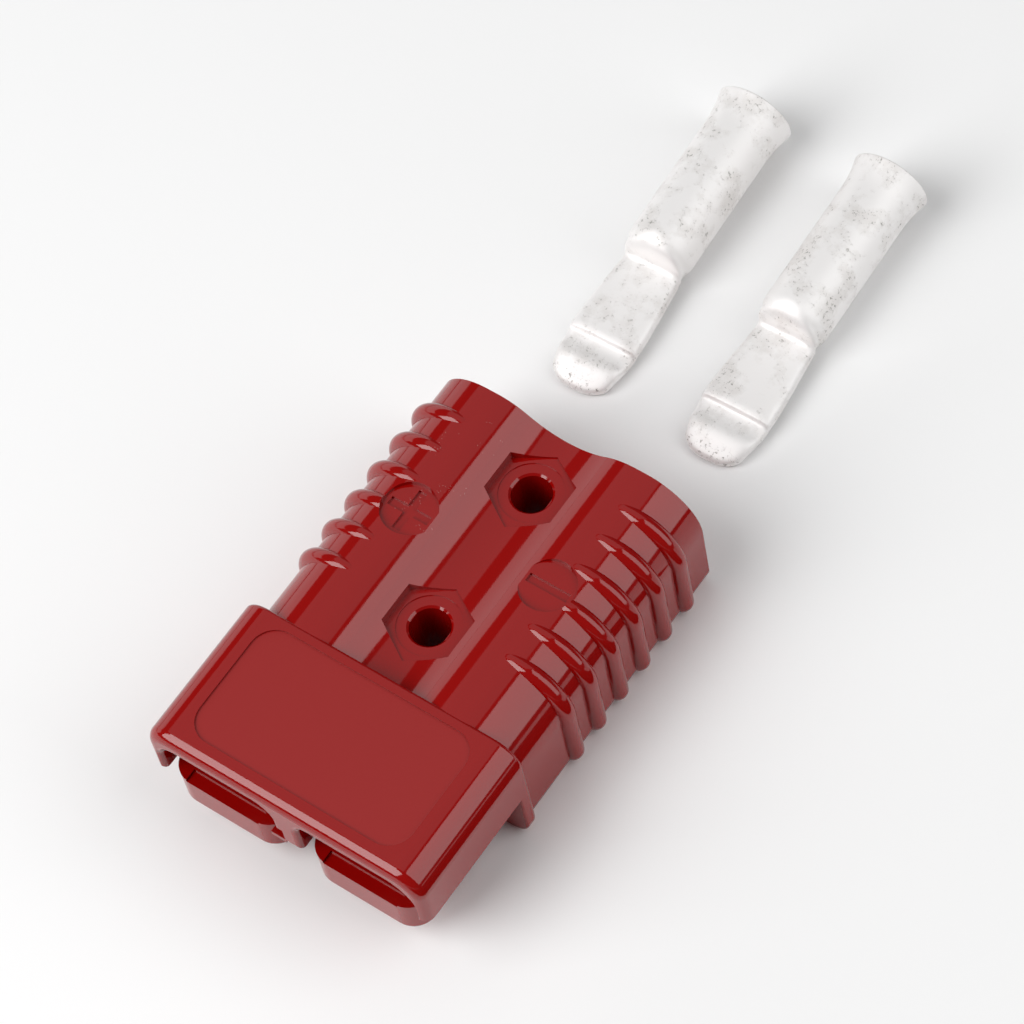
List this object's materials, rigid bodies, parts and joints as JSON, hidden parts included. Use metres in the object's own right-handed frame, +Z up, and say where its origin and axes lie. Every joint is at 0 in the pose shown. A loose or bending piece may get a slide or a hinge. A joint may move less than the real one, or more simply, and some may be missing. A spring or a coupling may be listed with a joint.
{
  "type": "genderless power connector",
  "caption": "Genderless power connector: hooded mating end, ribbed housing with nut pockets and mounting holes, leaf springs inside, loose crimp contacts.",
  "frame": {"origin": "midway between the two mounting holes, on the underside", "axes": "+Z up, +Y towards the cable end, +X to the right as seen from the mating end"},
  "size_m": [0.0544, 0.1576, 0.0262],
  "materials": {
    "housing_plastic": "glossy moulded polycarbonate, satin in the label recess, fine handling scratches",
    "spring_steel": "rolled stainless strip",
    "contact_silver": "matte silver plating over copper, with grey marks and worn edges"
  },
  "bodies": {
    "root": {"housing": "housing_plastic", "spring_left": "spring_steel", "spring_right": "spring_steel", "contact_left": "contact_silver", "contact_right": "contact_silver"}
  },
  "joints": []
}
